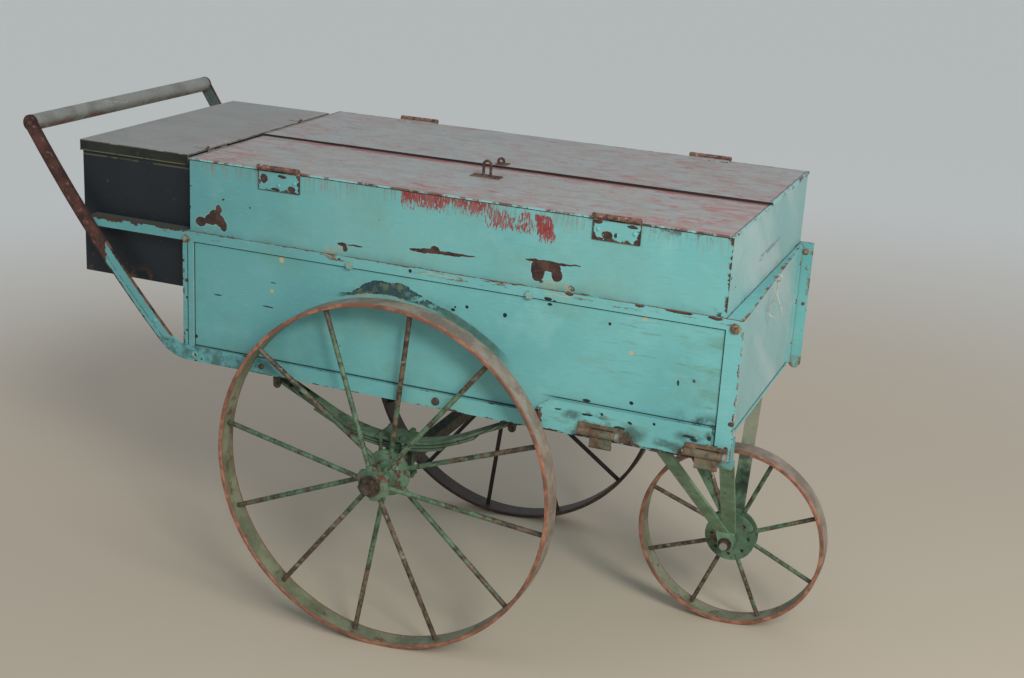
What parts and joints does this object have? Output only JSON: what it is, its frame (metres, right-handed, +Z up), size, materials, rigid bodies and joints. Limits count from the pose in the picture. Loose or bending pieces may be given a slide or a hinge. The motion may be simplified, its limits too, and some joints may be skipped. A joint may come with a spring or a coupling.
{
  "type": "three-wheeled tool cart",
  "caption": "Hand-pushed three-wheeled steel tool cart with spoked wheels, leaf springs, hinged lids, rear locker and push handle.",
  "frame": {"origin": "on the floor under the middle of the cart's overall length and width", "axes": "+X forward towards the small wheel, +Y across to the side away from the skirt plate, +Z up"},
  "size_m": [1.6152, 0.848, 1.0166],
  "materials": {
    "painted_sheet": "chipped, streaked turquoise paint on sheet steel",
    "painted_frame": "turquoise paint on steel angle, worn to rust along the edges",
    "arm_paint": "turquoise paint low down, rust brown towards the grip",
    "lid_paint": "thin brushed grey paint over older red paint and rust",
    "locker_paint": "dull near-black navy paint, rusty at the corners",
    "green_steel": "thin green paint and patina over rusty steel",
    "tyre_steel": "steel tyre band with copper-brown edge and green patina inside",
    "rusty_steel": "matt brown rust",
    "grip_steel": "hand-worn grey steel pipe with rust underneath",
    "bare_steel": "dull bare steel"
  },
  "bodies": {
    "chassis": {"upper_box": "painted_sheet", "lower_box": "painted_sheet", "floor_sheet": "painted_sheet", "mid_rail_near": "painted_frame", "mid_rail_far": "painted_frame", "mid_rail_front": "painted_frame", "mid_rail_rear": "painted_frame", "corner_angle_front_near": "painted_frame", "corner_angle_front_far": "painted_frame", "corner_angle_rear_near": "painted_frame", "corner_angle_rear_far": "painted_frame", "handle_arm_near": "arm_paint", "handle_arm_far": "arm_paint", "grip_bar": "grip_steel", "front_sill": "painted_frame", "skirt_plate": "painted_sheet", "lid_hinge_leaves": "rusty_steel", "lid_hinge_pins": "bare_steel", "back_box": "locker_paint", "back_hinge_leaves": "rusty_steel", "back_hinge_pins": "bare_steel", "rail_bolts": "rusty_steel", "arm_rivets": "rusty_steel", "bottom_bolts": "rusty_steel", "hinge_screws": "rusty_steel", "corner_rivets": "rusty_steel", "bracket_plates": "rusty_steel", "bracket_pins": "bare_steel", "fork_near": "green_steel", "fork_far": "green_steel", "front_axle": "bare_steel", "front_axle_nuts": "rusty_steel", "spring_hangers": "rusty_steel"},
    "near_lid": {"lid_near": "lid_paint", "lid_near_straps": "rusty_steel", "lid_near_knuckles": "lid_paint", "staple": "rusty_steel"},
    "far_lid": {"lid_far": "lid_paint", "lid_far_straps": "rusty_steel", "lid_far_knuckles": "lid_paint", "lock_eye": "rusty_steel"},
    "locker_lid": {"back_lid": "lid_paint", "back_lid_knuckles": "lid_paint"},
    "rear_bracket_leaf": {"bracket_leaf_rear": "rusty_steel"},
    "front_bracket_leaf": {"bracket_leaf_front": "rusty_steel"},
    "axle_set": {"rear_axle": "rusty_steel", "rear_axle_nuts": "rusty_steel", "spring_clamps": "green_steel", "leaf_springs": "green_steel"},
    "near_rear_wheel": {"rear_rim_near": "tyre_steel", "rear_spokes_near": "green_steel", "rear_hub_near": "green_steel"},
    "far_rear_wheel": {"rear_rim_far": "tyre_steel", "rear_spokes_far": "green_steel", "rear_hub_far": "green_steel"},
    "front_wheel": {"front_rim": "tyre_steel", "front_spokes": "green_steel", "front_hub": "green_steel"},
    "clip": {"wire_clip": "bare_steel"}
  },
  "joints": [
    {"name": "suspension_travel", "type": "slide", "parent": "chassis", "child": "axle_set", "axis": [0.0593, 0, 0.9982], "range_m": [-0.006, 0.012], "stiffness_N_per_m": 70000, "springref_m": -0.009, "deforming": ["leaf_springs"]},
    {"name": "near_rear_wheel_spin", "type": "hinge", "parent": "axle_set", "child": "near_rear_wheel", "pos_m": [-0.00139, -0.353, 0.356], "axis": [0, 1, 0], "continuous": true},
    {"name": "far_rear_wheel_spin", "type": "hinge", "parent": "axle_set", "child": "far_rear_wheel", "pos_m": [-0.00139, 0.353, 0.356], "axis": [0, 1, 0], "continuous": true},
    {"name": "front_wheel_spin", "type": "hinge", "parent": "chassis", "child": "front_wheel", "pos_m": [0.61561, 0, 0.192], "axis": [0, 1, 0], "continuous": true},
    {"name": "near_lid_hinge", "type": "hinge", "parent": "chassis", "child": "near_lid", "pos_m": [0.11894, -0.3205, 0.92286], "axis": [0.9982, 0, -0.0593], "range_deg": [0, 245]},
    {"name": "far_lid_hinge", "type": "hinge", "parent": "chassis", "child": "far_lid", "pos_m": [0.11916, 0.3205, 0.92656], "axis": [-0.9982, 0, 0.0593], "range_deg": [0, 245]},
    {"name": "locker_lid_hinge", "type": "hinge", "parent": "chassis", "child": "locker_lid", "pos_m": [-0.43555, 0, 0.9563], "axis": [0, 1, 0], "range_deg": [0, 178]},
    {"name": "rear_bracket_leaf_swing", "type": "hinge", "parent": "chassis", "child": "rear_bracket_leaf", "pos_m": [0.44187, -0.3365, 0.49896], "axis": [0.9982, 0, -0.0593], "range_deg": [-90, 20]},
    {"name": "front_bracket_leaf_swing", "type": "hinge", "parent": "chassis", "child": "front_bracket_leaf", "pos_m": [0.64152, -0.3365, 0.4871], "axis": [0.9982, 0, -0.0593], "range_deg": [-90, 20]},
    {"name": "clip_swing", "type": "hinge", "parent": "chassis", "child": "clip", "pos_m": [0.68386, 0.01, 0.73603], "axis": [0, 1, 0], "range_deg": [-90, 2]}
  ]
}
